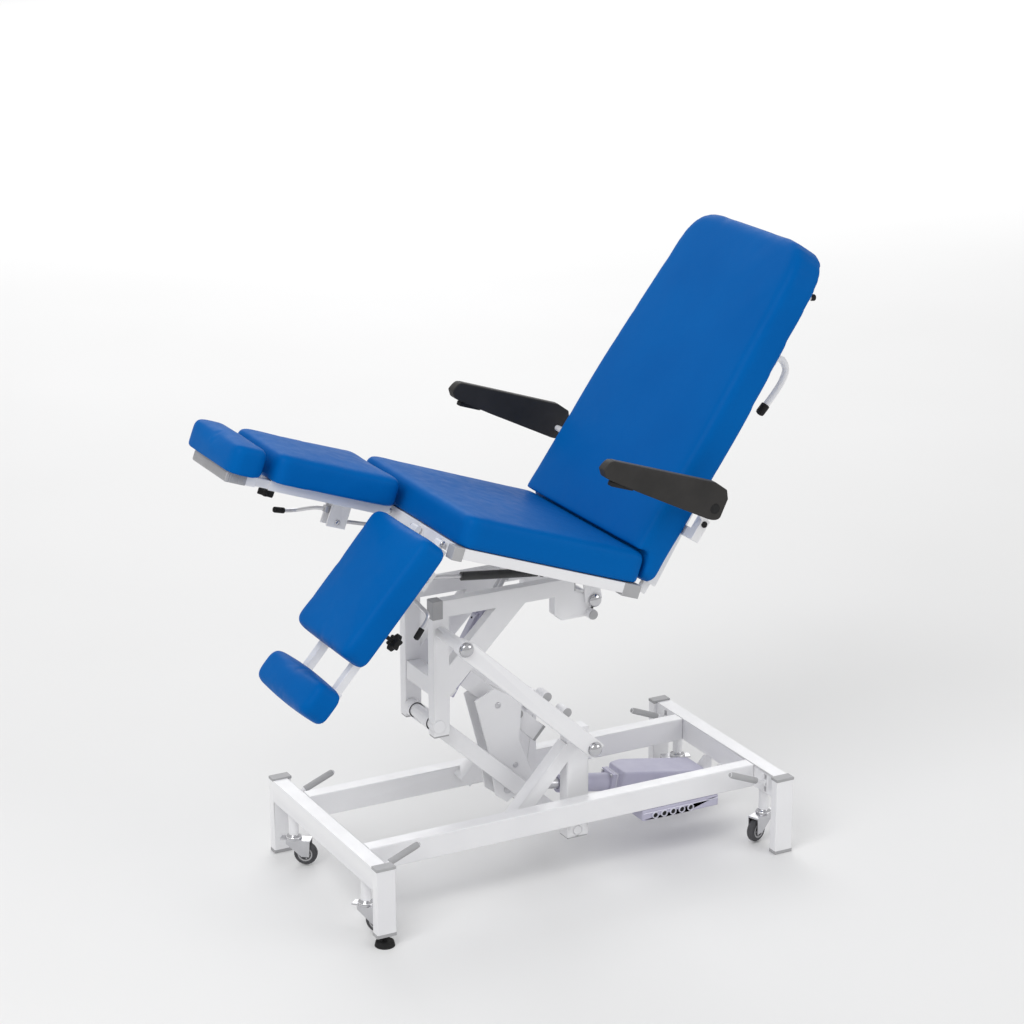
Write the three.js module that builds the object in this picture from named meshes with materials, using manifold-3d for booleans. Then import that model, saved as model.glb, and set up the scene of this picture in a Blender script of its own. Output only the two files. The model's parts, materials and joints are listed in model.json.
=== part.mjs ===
// Three-section treatment chair with split leg rests on a parallelogram lift base.
// Millimetres, +Z up. X runs along the chair: foot end at -X, head end at +X.
// Y runs across it: the near side is -Y. The floor is Z = 0.

import * as THREE from 'three';
import { mergeVertices } from 'three/addons/utils/BufferGeometryUtils.js';
import Module from 'manifold-3d';

const wasm = await Module();
wasm.setup();

// ---------- driving dimensions ----------

const GAP = 0.3;                 // air left between pieces that meet
const WELD = 1;                  // overlap of members joined into one weldment
const ROUND = 24;                // facets round a shaft

const base = {
  halfLength: 585, halfWidth: 317,
  postX: 50, postY: 27, postTop: 205,
  barX: 40, barBottom: 142, barTop: 202,
  railInner: 155, railOuter: 195,
  footHeight: 26,
};

const mast = { x0: 18, x1: 78, yOuter: 156, yInner: 115, bottom: 92, top: 386 };

const castor = {
  x: 565, y: 213, stemRadius: 13, stemTop: 141.7, stemBottom: 72,
  wheelRadius: 30, wheelWidth: 20, wheelZ: 33, trail: 30,
  leverY: 246, leverX: 545, leverZ: 178, leverAngle: 22,
};

// Lift linkage: the upper and lower arms turn on the masts and carry the carriage.
const lift = {
  upperBase: { x: 54, z: 354 },
  lowerBase: { x: 48, z: 109 },
  length: 480.6,
  angle: 42.55,
  armInner: 198, armOuter: 228, armDepth: 45,
  lowerInner: 32, lowerOuter: 62, lowerDepth: 42,
};

const carriage = {
  yInner: 63, yOuter: 93,
  postX0: -320, postX1: -276, postBottom: 408, tubeBottom: 714, tubeTop: 757,
  tubeEnd: 70,
};

const seatPivot = { x: 122, z: 692 };

const seat = { x: 139, z: 785, tilt: 19.8, length: 514, halfWidth: 294, thickness: 80, frameDepth: 26 };

const back = {
  x: 146, z: 776, angle: 55,
  length: 924, front: 71, thickness: 93, waist: 440,
  widthBottom: 294, widthTop: 256, frameDepth: 28,
};

const leg = {
  hingeX: -522, hingeZ: -13,     // hinge axis in the seat's own frame
  nearAngle: 48.3,               // below the horizontal
  farAngle: -19.8,
  inner: 8, outer: 296,
  mid: 143, frameHalf: 98,       // the frame under each cushion
  slideOffset: 84,
  cushionStart: 11, cushionEnd: 350, cushionBottom: 15, thickness: 73,
  frameDepth: 25, slideSize: 21,
};

const foot = { nearOut: 66, farOut: 22, length: 92, thickness: 72 };

const armrest = { pivotX: 278, pivotZ: 990.5, inner: 372, outer: 400, angle: 18.5 };

// ---------- colours ----------

const paint = {
  white: 0xe6e6e8,
  grey: 0x9a9a9a,
  lilac: 0xaaa9bd,
  blue: 0x0a5cae,
  dark: 0x3b3938,
  black: 0x1c1c1e,
};

function finish(color, roughness, metalness = 0) {
  return new THREE.MeshStandardMaterial({ color, roughness, metalness });
}

const materials = {
  frame: finish(paint.white, 0.35),
  cap: finish(paint.grey, 0.55),
  actuator: finish(paint.lilac, 0.5),
  upholstery: finish(paint.blue, 0.55),
  armrest: finish(paint.dark, 0.6),
  black: finish(paint.black, 0.5),
  chrome: finish(0xd8d8dc, 0.12, 1),
  tyre: finish(0x4a4a4c, 0.7),
};

// ---------- solids ----------

// A closed three.js geometry as a solid.
function solid(geometry) {
  const plain = geometry.index ? geometry.toNonIndexed() : geometry.clone();
  plain.deleteAttribute('normal');
  plain.deleteAttribute('uv');
  const merged = mergeVertices(plain, 1e-4);
  return new wasm.Manifold(new wasm.Mesh({
    numProp: 3,
    vertProperties: new Float32Array(merged.attributes.position.array),
    triVerts: new Uint32Array(merged.index.array),
  }));
}

function weld(...parts) {
  return parts.reduce((whole, part) => whole.add(part));
}

function cut(whole, ...parts) {
  return parts.reduce((rest, part) => rest.subtract(part), whole);
}

// A box between two corners.
function block([x0, y0, z0], [x1, y1, z1]) {
  const geometry = new THREE.BoxGeometry(Math.abs(x1 - x0), Math.abs(y1 - y0), Math.abs(z1 - z0));
  geometry.translate((x0 + x1) / 2, (y0 + y1) / 2, (z0 + z1) / 2);
  return solid(geometry);
}

// A round bar between two points, with an optional second radius.
function bar(from, to, radius, endRadius = radius, facets = ROUND) {
  const a = new THREE.Vector3(...from);
  const b = new THREE.Vector3(...to);
  const along = b.clone().sub(a);
  const geometry = new THREE.CylinderGeometry(endRadius, radius, along.length(), facets);
  const turn = new THREE.Quaternion().setFromUnitVectors(new THREE.Vector3(0, 1, 0), along.normalize());
  geometry.applyQuaternion(turn);
  geometry.translate(...a.add(b).multiplyScalar(0.5).toArray());
  return solid(geometry);
}

// A round shaft across the chair, between two Y values.
function shaft(x, z, y0, y1, radius, facets = ROUND) {
  return bar([x, y0, z], [x, y1, z], radius, radius, facets);
}

// A rectangular tube in the XZ plane between two points, as deep as given, from y0 to y1.
function beam([x0, z0], [x1, z1], depth, y0, y1) {
  const length = Math.hypot(x1 - x0, z1 - z0);
  const geometry = new THREE.BoxGeometry(length, y1 - y0, depth);
  geometry.rotateY(-Math.atan2(z1 - z0, x1 - x0));
  geometry.translate((x0 + x1) / 2, (y0 + y1) / 2, (z0 + z1) / 2);
  return solid(geometry);
}

// A polygon in the XZ plane given as [x, z] points, extruded from y0 to y1.
function plate(points, y0, y1) {
  const shape = new THREE.Shape(points.map(([x, z]) => new THREE.Vector2(x, z)));
  const geometry = new THREE.ExtrudeGeometry(shape, { depth: y1 - y0, bevelEnabled: false });
  geometry.rotateX(Math.PI / 2);
  geometry.translate(0, y1, 0);
  return solid(geometry);
}

// A polygon with rounded corners, each given as [x, y, radius].
function roundedShape(corners) {
  const shape = new THREE.Shape();
  corners.forEach(([x, y, radius], i) => {
    const here = new THREE.Vector2(x, y);
    const before = new THREE.Vector2(...corners.at(i - 1)).sub(here).setLength(radius).add(here);
    const next = new THREE.Vector2(...corners[(i + 1) % corners.length]);
    const after = next.sub(here).setLength(radius).add(here);
    if (i === 0) shape.moveTo(before.x, before.y);
    else shape.lineTo(before.x, before.y);
    shape.quadraticCurveTo(here.x, here.y, after.x, after.y);
  });
  shape.closePath();
  return shape;
}

// A plan outline raised from z0 to z1 with rounded edges.
function pad(corners, z0, z1, edge, bevelSegments = 2) {
  const depth = z1 - z0 - 2 * edge;
  const geometry = new THREE.ExtrudeGeometry(roundedShape(corners), {
    depth, curveSegments: 5, bevelEnabled: true, bevelThickness: edge, bevelSize: edge, bevelOffset: -edge,
    bevelSegments,
  });
  geometry.translate(0, 0, z0 + edge);
  return solid(geometry);
}

// An upholstered slab: flat underneath, rounded along the edges of its top.
function cushion(corners, z0, z1, edge) {
  const whole = pad(corners, z0 - edge, z1, edge, 3);
  return cut(whole, block([-2000, -1000, z0 - 2 * edge], [2000, 1000, z0]));
}

// A round tube bent along a list of points.
function bentTube(points, radius, steps, sides = 10) {
  const path = new THREE.CatmullRomCurve3(points.map((p) => new THREE.Vector3(...p)), false, 'centripetal');
  const section = new THREE.Shape();
  section.absarc(0, 0, radius, 0, Math.PI * 2);
  const geometry = new THREE.ExtrudeGeometry(section, { extrudePath: path, steps, curveSegments: sides / 2 });
  return solid(geometry);
}

function mesh(name, whole, material) {
  const { vertProperties, triVerts } = whole.getMesh();
  const geometry = new THREE.BufferGeometry();
  geometry.setAttribute('position', new THREE.BufferAttribute(new Float32Array(vertProperties), 3));
  geometry.setIndex(new THREE.BufferAttribute(new Uint32Array(triVerts), 1));
  geometry.computeVertexNormals();
  const part = new THREE.Mesh(geometry, material);
  part.name = name;
  return part;
}

// A group turned about Y: positive lifts what points to -X.
function turned(x, z, degrees, ...children) {
  const group = new THREE.Group();
  group.position.set(x, 0, z);
  group.rotation.y = THREE.MathUtils.degToRad(degrees);
  group.add(...children);
  return group;
}

const chair = new THREE.Group();
const sides = [{ word: 'near', s: -1 }, { word: 'far', s: 1 }];
const ends = [{ word: 'foot', s: -1 }, { word: 'head', s: 1 }];

// Orders a pair of Y values mirrored to one side.
function across(s, inner, outer) {
  return s < 0 ? [-outer, -inner] : [inner, outer];
}

// ---------- base ----------

function endFrame(end) {
  const { halfLength, halfWidth, postX, postY, postTop, barX, barBottom, barTop, footHeight } = base;
  const x = (inset) => end.s * (halfLength - inset);
  const members = sides.map((side) => {
    const onFoot = end.s < 0 && side.s < 0;
    return block(
      [x(postX), side.s * (halfWidth - postY), onFoot ? footHeight : 0],
      [x(0), side.s * halfWidth, postTop],
    );
  });
  const inner = halfWidth - postY + WELD;
  const crossbar = block([x(barX), -inner, barBottom], [x(0), inner, barTop]);
  const slots = sides.map((side) => block(
    [x(barX) - end.s, side.s * castor.leverY - 7, 146],
    [x(barX - 16), side.s * castor.leverY + 7, 194],
  ));
  return cut(weld(crossbar, ...members), ...slots);
}

// The actuator's rear clevis hangs from the head end crossbar.
const actuatorRear = { x: 524, z: 92 };

function actuatorClevis() {
  const ear = (y) => plate([[506, 74], [548, 74], [562, 110], [562, 143], [536, 143], [506, 112]], y, y + 5);
  return weld(ear(-38), ear(33));
}

chair.add(
  mesh('foot_end_frame', endFrame(ends[0]), materials.frame),
  mesh('head_end_frame', weld(endFrame(ends[1]), actuatorClevis()), materials.frame),
);

// A long rail with its mast and the brace that props the mast.
function rail(side) {
  const { halfLength, barX, barBottom, barTop, railInner, railOuter } = base;
  const end = halfLength - barX - GAP;
  const [r0, r1] = across(side.s, railInner, railOuter);
  const [m0, m1] = across(side.s, mast.yInner, mast.yOuter);
  const tube = block([-end, r0, barBottom], [end, r1, barTop]);
  const column = block([mast.x0, m0, mast.bottom], [mast.x1, m1, mast.top]);
  const brace = beam([-128, 168], [mast.x0 + 10, 338], 38, m0, m1);
  const bores = [
    shaft(lift.upperBase.x, lift.upperBase.z, -400, 400, 15 + GAP),
    shaft(lift.lowerBase.x, lift.lowerBase.z, -400, 400, 12 + GAP),
  ];
  return cut(weld(tube, column, brace), ...bores);
}

for (const side of sides) {
  chair.add(mesh(`rail_${side.word}`, rail(side), materials.frame));
}

// The levelling foot under one post: a rubber disc on a threaded stud.
chair.add(mesh('levelling_foot', weld(
  bar([-base.halfLength + 25, -303.5, 0], [-base.halfLength + 25, -303.5, 12], 25, 22),
  bar([-base.halfLength + 25, -303.5, 11], [-base.halfLength + 25, -303.5, base.footHeight - GAP], 6, 6, 12),
), materials.black));

// Control box hung under the near rail, with a row of round sockets.
function controlBox() {
  const body = block([214, -196, 112], [438, -118, base.barBottom - GAP]);
  const sockets = [0, 1, 2, 3, 4].map((i) => shaft(250 + i * 26, 124, -200, -188, 7, 12));
  return cut(body, ...sockets);
}
chair.add(mesh('control_box', controlBox(), materials.actuator));

// ---------- castors ----------

const castorHeadings = { foot_near: -50, foot_far: -38, head_near: -160, head_far: 160 };

function castorStem() {
  return weld(
    bar([0, 0, castor.stemBottom], [0, 0, castor.stemTop], castor.stemRadius),
    bar([0, 0, castor.stemBottom], [0, 0, castor.stemBottom + 6], 20),
  );
}

// Fork in its own frame: the wheel trails along +X.
function castorFork() {
  const top = castor.stemBottom - GAP;
  const cheek = (y) => plate([
    [-18, top], [castor.trail + 14, top], [castor.trail + 12, castor.wheelZ - 6],
    [castor.trail - 8, castor.wheelZ - 6], [-18, top - 12],
  ], y, y + 3);
  const crown = block([-18, -15.5, top - 5], [castor.trail + 14, 15.5, top]);
  const pedal = block([-34, -12, top - 4], [-17, 12, top]);
  const axle = shaft(castor.trail, castor.wheelZ, -15.5, 15.5, 4, 12);
  return weld(crown, cheek(-15.5), cheek(12.5), pedal, axle);
}

function castorWheel() {
  const half = castor.wheelWidth / 2;
  const r = castor.wheelRadius;
  const profile = [
    [4 + GAP, -half], [r - 9, -half], [r - 3, -half + 1], [r, -half + 5],
    [r, half - 5], [r - 3, half - 1], [r - 9, half], [4 + GAP, half],
  ];
  profile.push(profile[0]);
  return solid(new THREE.LatheGeometry(profile.map(([x, y]) => new THREE.Vector2(x, y)), 22));
}

// Lever in its own frame: the pivot is the origin and it points along +X.
function castorLever() {
  return weld(
    bar([4, 0, 0], [30, 0, 0], 5, 5, 12),
    bar([28, 0, 0], [118, 0, 0], 6.5, 6.5, 16),
    shaft(0, 0, -5.5, 5.5, 9, 16),
  );
}

for (const end of ends) {
  for (const side of sides) {
    const tag = `${end.word}_${side.word}`;
    const stem = mesh(`castor_stem_${tag}`, castorStem(), materials.frame);
    stem.position.set(end.s * castor.x, side.s * castor.y, 0);
    const swivel = new THREE.Group();
    swivel.position.copy(stem.position);
    swivel.rotation.z = THREE.MathUtils.degToRad(castorHeadings[tag]);
    const wheel = mesh(`castor_wheel_${tag}`, castorWheel(), materials.tyre);
    wheel.position.set(castor.trail, 0, castor.wheelZ);
    swivel.add(mesh(`castor_fork_${tag}`, castorFork(), materials.chrome), wheel);
    const lever = mesh(`castor_lever_${tag}`, castorLever(), materials.cap);
    lever.position.set(end.s * (castor.leverX + 3), side.s * castor.leverY, castor.leverZ - 8);
    lever.rotation.order = 'ZYX';
    lever.rotation.set(0, THREE.MathUtils.degToRad(-castor.leverAngle), end.s > 0 ? Math.PI : 0);
    chair.add(stem, swivel, lever);
  }
}

// ---------- lift linkage ----------

// Arms in their own frame: the base pivot is the origin and the arm points along -X.
function upperArm(side) {
  const [y0, y1] = across(side.s, lift.armInner, lift.armOuter);
  const half = lift.armDepth / 2;
  const tube = block([-lift.length + 6, y0, -half], [18, y1, half]);
  const end = shaft(-lift.length, 0, y0, y1, half - 2);
  const bore = shaft(-lift.length, 0, -400, 400, 10 + GAP);
  return cut(weld(tube, end), bore);
}

// The upper base shaft is welded to the near arm and runs through both masts.
const upperShaft = shaft(0, 0, -lift.armInner - WELD, lift.armInner - GAP, 15);

// Two short round stubs stand behind the near arm's upper edge.
const armStubs = [-188, -112].map((x) => shaft(x, 30, -lift.armInner - WELD, -159, 12.8));

function lowerArms() {
  const half = lift.lowerDepth / 2;
  const arms = sides.map((side) => {
    const [y0, y1] = across(side.s, lift.lowerInner, lift.lowerOuter);
    const tube = block([-lift.length, y0, -half], [20, y1, half]);
    return weld(tube, shaft(-lift.length, 0, y0, y1, half));
  });
  const torque = shaft(0, 0, -mast.yOuter, mast.yOuter, 12);
  const tieHalf = lift.lowerOuter - 2;
  const tie = block([-lift.length + 70, -tieHalf, -12], [-lift.length + 100, tieHalf, 12]);
  const bore = shaft(-lift.length, 0, -400, 400, 17 + GAP);
  return cut(weld(...arms, torque, tie), bore);
}

// Crank: two pressed plates welded to a square link tube, turning with the lower arms.
const linkTube = { from: [-186, 508], to: [22, 320], y0: -2, y1: 36 };

function liftCrank() {
  const outline = [
    [-176, 455], [-120, 478], [-44, 428], [-52, 330],
    [-6, 214], [-86, 165], [-118, 190], [-140, 320],
  ];
  const inner = lift.lowerInner - GAP;
  const plates = [plate(outline, -inner, -inner + 5), plate(outline, inner - 5, inner)];
  const tube = beam(linkTube.from, linkTube.to, 44, linkTube.y0, linkTube.y1);
  const spacer = shaft(-112, 432, -inner + 2, inner - 2, 10, 16);
  const boss = shaft(-62, 262, -inner + 2, inner - 2, 9, 16);
  return weld(...plates, tube, spacer, boss);
}

chair.add(
  turned(
    lift.upperBase.x, lift.upperBase.z, lift.angle,
    mesh('upper_arm_near', weld(upperArm(sides[0]), upperShaft, ...armStubs), materials.frame),
    mesh('upper_arm_far', upperArm(sides[1]), materials.frame),
  ),
  turned(
    lift.lowerBase.x, lift.lowerBase.z, lift.angle,
    mesh('lower_arms', lowerArms(), materials.frame),
  ),
  mesh('lift_crank', liftCrank(), materials.frame),
);

// Actuators: a rod runs in the body's tube along the line from the rear to the front pivot.
function direction(from, to) {
  const length = Math.hypot(to.x - from.x, to.z - from.z);
  return { length, degrees: THREE.MathUtils.radToDeg(Math.atan2(to.z - from.z, to.x - from.x)) };
}

// ---- lift actuator: lies in the base and pulls on the crank ----

const liftPin = { x: -84, z: 200 };
const liftLine = direction(actuatorRear, liftPin);

// Body in its own frame: rear pivot at the origin, the rod leaves along +X.
function liftActuatorBody() {
  const eye = block([-14, -20, -14], [44, 20, 14]);
  const plan = [[34, -52, 12], [34, 52, 12], [250, 52, 12], [292, 30, 10], [292, -52, 12]];
  const housing = pad(plan, -44, 36, 6);
  const lid = pad([[70, -36, 8], [70, 36, 8], [214, 36, 8], [214, -36, 8]], 30, 48, 4);
  const collar = block([290, -30, -30], [310, 30, 30]);
  const tube = bar([300, 0, 0], [456, 0, 0], 24);
  const bore = bar([320, 0, 0], [460, 0, 0], 14 + GAP);
  return cut(weld(eye, housing, lid, collar, tube), bore);
}

function liftActuatorRod() {
  const eye = cut(shaft(liftLine.length, 0, -14, 14, 17), shaft(liftLine.length, 0, -20, 20, 7, 16));
  return weld(bar([340, 0, 0], [liftLine.length - 12, 0, 0], 14), eye);
}

chair.add(turned(
  actuatorRear.x, actuatorRear.z, -liftLine.degrees,
  mesh('lift_actuator_body', liftActuatorBody(), materials.actuator),
  mesh('lift_actuator_rod', liftActuatorRod(), materials.chrome),
));

// ---------- carriage ----------

const upperTop = {
  x: lift.upperBase.x - lift.length * Math.cos(THREE.MathUtils.degToRad(lift.angle)),
  z: lift.upperBase.z + lift.length * Math.sin(THREE.MathUtils.degToRad(lift.angle)),
};
const lowerTop = {
  x: upperTop.x + lift.lowerBase.x - lift.upperBase.x,
  z: upperTop.z + lift.lowerBase.z - lift.upperBase.z,
};

function carriageSide(side) {
  const { yInner, yOuter, postX0, postX1, postBottom, tubeBottom, tubeTop, tubeEnd } = carriage;
  const [y0, y1] = across(side.s, yInner, yOuter);
  const post = block([postX0, y0, postBottom], [postX1, y1, tubeTop]);
  const tube = block([postX0, y0, tubeBottom], [tubeEnd, y1, tubeTop]);
  const brace = beam([-296, 528], [-82, 740], 58, y0, y1);
  const outside = block([-420, y0 - 1, 400], [postX0, y1 + 1, 900]);
  const above = block([-420, y0 - 1, tubeTop], [200, y1 + 1, 900]);
  const outline = [
    [14, 722], [70, 722], [112, 708], [134, 700],
    [134, 682], [110, 650], [34, 650], [14, 668],
  ];
  const bracket = plate(outline, y0, y1);
  const stub = shaft(upperTop.x, upperTop.z, side.s * (yOuter - WELD), side.s * (lift.armInner - GAP), 15);
  const spigot = shaft(upperTop.x, upperTop.z, side.s * (yOuter - WELD), side.s * (lift.armOuter + 6), 10);
  const bore = shaft(seatPivot.x, seatPivot.z, -400, 400, 9 + GAP, 16);
  const cross = side.s < 0 ? [shaft(lowerTop.x, lowerTop.z, -yOuter - 4, yInner - GAP, 17)] : [];
  const [c0, c1] = side.s < 0 ? [-112, yInner - GAP] : [yInner, 112];
  const roundTube = shaft(113, 658, c0, c1, 13);
  const plates = weld(cut(weld(post, tube, brace), outside, above), bracket, roundTube);
  return cut(weld(plates, stub, spigot, ...cross), bore);
}

for (const side of sides) {
  chair.add(mesh(`carriage_side_${side.word}`, carriageSide(side), materials.frame));
}

// The cross tube ties the two posts and carries the lower eye of the tilt actuator.
const tiltLower = { x: -248, z: 500 };
const tiltUpper = { x: -88, z: 772 };

function crossTube() {
  const inner = carriage.yInner - GAP;
  const tube = block([carriage.postX0 + 3, -inner, 508], [carriage.postX1 - 3, inner, 556]);
  const ear = (y) => plate([[-282, 552], [-250, 520], [-232, 500], [-248, 484], [-282, 512]], y, y + 5);
  return weld(tube, ear(-47), ear(-2));
}
chair.add(mesh('carriage_cross_tube', crossTube(), materials.frame));

// ---- tilt actuator: stands between the carriage posts under the seat ----

const tiltLine = direction(tiltLower, tiltUpper);
const tiltY = -22;

function tiltActuatorBody() {
  const column = block([-14, tiltY - 19, -19], [224, tiltY + 19, 19]);
  const ridge = block([10, tiltY - 12, 18], [200, tiltY + 12, 26]);
  const bores = [-9, 9].map((y) => bar([40, tiltY + y, 0], [230, tiltY + y, 0], 5 + GAP, 5 + GAP, 12));
  return cut(weld(column, ridge), ...bores);
}

function tiltActuatorRods() {
  const rods = [-9, 9].map((y) => bar([130, tiltY + y, 0], [tiltLine.length - 8, tiltY + y, 0], 5, 5, 12));
  const yoke = block([tiltLine.length - 12, tiltY - 15, -9], [tiltLine.length + 6, tiltY + 15, 9]);
  return weld(...rods, yoke);
}

chair.add(turned(
  tiltLower.x, tiltLower.z, -tiltLine.degrees,
  mesh('tilt_actuator_body', tiltActuatorBody(), materials.actuator),
  mesh('tilt_actuator_rods', tiltActuatorRods(), materials.chrome),
));

// ---------- seat ----------
// Seat frame axes: origin at the cushion's lower rear edge, -X to the foot end, +Z out of the cushion.

const seatPivotLocal = new THREE.Vector3(seatPivot.x - seat.x, 0, seatPivot.z - seat.z)
  .applyAxisAngle(new THREE.Vector3(0, 1, 0), THREE.MathUtils.degToRad(-seat.tilt));

function seatFrame() {
  const { length, halfWidth, frameDepth } = seat;
  const w = halfWidth - 6;
  const bottom = -GAP - frameDepth;
  const rails = sides.map((side) => {
    const [y0, y1] = across(side.s, w - 30, w);
    return block([-length + 4, y0, bottom], [4, y1, -GAP]);
  });
  const crossTubes = [-length + 4, -26].map((x) => block([x, -w + 1, bottom], [x + 30, w - 1, -GAP]));
  const board = block([-length + 6, -w + 2, -7], [2, w - 2, -GAP]);
  const { x, z } = seatPivotLocal;
  const lugs = sides.map((side) => {
    const [y0, y1] = across(side.s, carriage.yOuter + GAP, carriage.yOuter + 8);
    const foot = bottom + 6;
    return plate([[x - 22, z - 12], [x + 14, z - 14], [x + 20, z + 10], [-2, foot], [-46, foot]], y0, y1);
  });
  const axle = shaft(x, z, -carriage.yOuter - 10, carriage.yOuter + 10, 9, 16);
  const tiltEars = [-42, -7].map((y) => plate(
    [[-278, -2], [-218, -2], [-240, bottom - 26], [-262, bottom - 26]], y, y + 5,
  ));
  return weld(...rails, ...crossTubes, board, ...lugs, axle, ...tiltEars);
}

function seatCushion() {
  const { length, halfWidth, thickness } = seat;
  return cushion([
    [-length, -halfWidth, 40], [-length, halfWidth, 40], [-2, halfWidth, 30], [-2, -halfWidth, 30],
  ], 0, thickness, 20);
}

// ---------- backrest ----------
// Back frame axes: origin at the recline pivot, +X up the back, +Z out of the cushion's front.

function backFrame() {
  const bottom = back.front - back.thickness - GAP;
  const top = back.length - 60;
  const rail = (s) => {
    const lower = s < 0
      ? [[20, -262], [20, -232], [top, -166], [top, -196]]
      : [[20, 232], [20, 262], [top, 196], [top, 166]];
    const shape = new THREE.Shape(lower.map(([x, y]) => new THREE.Vector2(x, y)));
    const geometry = new THREE.ExtrudeGeometry(shape, { depth: back.frameDepth, bevelEnabled: false });
    geometry.translate(0, 0, bottom - back.frameDepth);
    return solid(geometry);
  };
  const board = block([24, -160, bottom - 6], [top - 4, 160, bottom]);
  const ties = [[20, 240], [430, 204], [top - 30, 170]].map(([x, w]) => block(
    [x, -w, bottom - back.frameDepth + 2], [x + 30, w, bottom - GAP],
  ));
  const hinge = sides.map((side) => {
    const [y0, y1] = across(side.s, 225, 240);
    return block([-8, y0, bottom - back.frameDepth], [24, y1, bottom - 6]);
  });
  return weld(rail(-1), rail(1), board, ...ties, ...hinge);
}

function backCushion() {
  const { front, thickness, length, waist, widthBottom, widthTop } = back;
  const slab = cushion([
    [14, -widthBottom, 40], [waist, -widthBottom, 80], [length, -widthTop, 105],
    [length, widthTop, 105], [waist, widthBottom, 80], [14, widthBottom, 40],
  ], front - thickness, front, 24);
  const seatEnd = block([-200, -400, -40], [0, 400, seat.thickness + 3])
    .rotate([0, seat.tilt, 0])
    .translate([seat.x - back.x, 0, seat.z - back.z])
    .rotate([0, back.angle, 0]);
  return cut(slab, seatEnd);
}

// Push handle: a bent tube behind the backrest with a rubber tip, and its short top stub.
function backHandle() {
  const z0 = back.front - back.thickness - back.frameDepth - GAP;
  return weld(
    bentTube([
      [649, -196, z0 - 6], [659, -196, z0 - 27], [646, -196, z0 - 55], [617, -196, z0 - 64], [578, -196, z0 - 63],
      [520, -196, z0 - 55],
    ], 9, 20),
    block([636, -206, z0 - 16], [660, -180, z0 - GAP]),
  );
}

// ---------- armrests ----------

// The pivot in the back frame's axes.
const armrestHinge = new THREE.Vector3(armrest.pivotX - back.x, 0, armrest.pivotZ - back.z)
  .applyAxisAngle(new THREE.Vector3(0, 1, 0), THREE.MathUtils.degToRad(back.angle));

function armrestBracket(side) {
  const { x, z } = armrestHinge;
  const [s0, s1] = across(side.s, 251.5, 302);
  const [p0, p1] = across(side.s, 300, 325);
  const [t0, t1] = across(side.s, 318, 325);
  const low = back.front - back.thickness - 26;
  return weld(
    block([162, s0, low], [187, s1, low + 24]),
    block([162, p0, low], [222, p1, low + 24]),
    plate([[200, low + 2], [220, low + 2], [x + 12, z], [x - 4, z + 12], [x - 14, z]], t0, t1),
    shaft(x, z, side.s * 318, side.s * (armrest.outer - 8), 8),
  );
}

// Armrest in its own frame: the pivot is the origin and the front points along -X.
function armrestPad(side) {
  const [y0, y1] = across(side.s, armrest.inner, armrest.outer);
  const outline = new THREE.Shape();
  outline.moveTo(29, 29);
  outline.lineTo(19, 50);
  outline.lineTo(-15, 61);
  outline.lineTo(-314, 61);
  outline.quadraticCurveTo(-324, 60, -334, 36);
  outline.lineTo(-323, 20);
  outline.lineTo(-307, 15);
  outline.lineTo(-207, -1);
  outline.lineTo(-25, -26);
  outline.quadraticCurveTo(16, -34, 23, -18);
  outline.closePath();
  const settings = { depth: y1 - y0, bevelEnabled: false, curveSegments: 5 };
  const geometry = new THREE.ExtrudeGeometry(outline, settings);
  geometry.rotateX(Math.PI / 2);
  geometry.translate(0, y1, 0);
  const boreEnd = armrest.outer - 8 + GAP;
  return cut(solid(geometry), shaft(0, 0, side.s * (armrest.inner - 5), side.s * boreEnd, 8 + GAP));
}

// ---------- legs ----------
// Leg axes: origin on the hinge, -X towards the foot, +Z out of the cushion.

function legFrame(side) {
  const { mid: center, frameHalf, slideOffset, slideSize } = leg;
  const { cushionStart, cushionEnd, cushionBottom, frameDepth } = leg;
  const mid = side.s * center;
  const [y0, y1] = [mid - frameHalf, mid + frameHalf];
  const top = cushionBottom - GAP;
  const low = top - frameDepth;
  const rails = [y0, y1 - 28].map((y) => block([-cushionEnd + 10, y, low], [-cushionStart, y + 28, top]));
  const channels = [mid - slideOffset, mid + slideOffset].map((y) => block(
    [-cushionEnd + 9, y - slideSize / 2 - GAP, low + 2 - GAP],
    [-cushionStart - 60, y + slideSize / 2 + GAP, low + 2 + slideSize + GAP],
  ));
  const deck = block([-cushionEnd + 12, y0 + 2, top - 6], [-cushionStart - 40, y1 - 2, top]);
  const ties = [-cushionEnd + 10, -cushionStart - 44].map((x) => block([x, y0 + 2, low], [x + 32, y1 - 2, top]));
  const knuckles = [y0 + 20, y1 - 50].map((y) => weld(
    block([-cushionStart - 14, y, -8], [0, y + 30, 8]),
    shaft(0, 0, y, y + 30, 8, 16),
  ));
  const bracket = weld(
    block([-114, mid - 6, low - 72], [-62, mid, top - 2]),
    block([-114, mid + 26, low - 72], [-62, mid + 32, top - 2]),
  );
  return weld(cut(weld(...rails, deck, ...ties), ...channels), ...knuckles, bracket);
}

function calfCushion(side) {
  const { inner, outer, cushionStart, cushionEnd, cushionBottom, thickness } = leg;
  const [y0, y1] = across(side.s, inner, outer);
  return cushion([
    [-cushionEnd, y0, 34], [-cushionEnd, y1, 34], [-cushionStart, y1, 34], [-cushionStart, y0, 34],
  ], cushionBottom, cushionBottom + thickness, 20);
}

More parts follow.
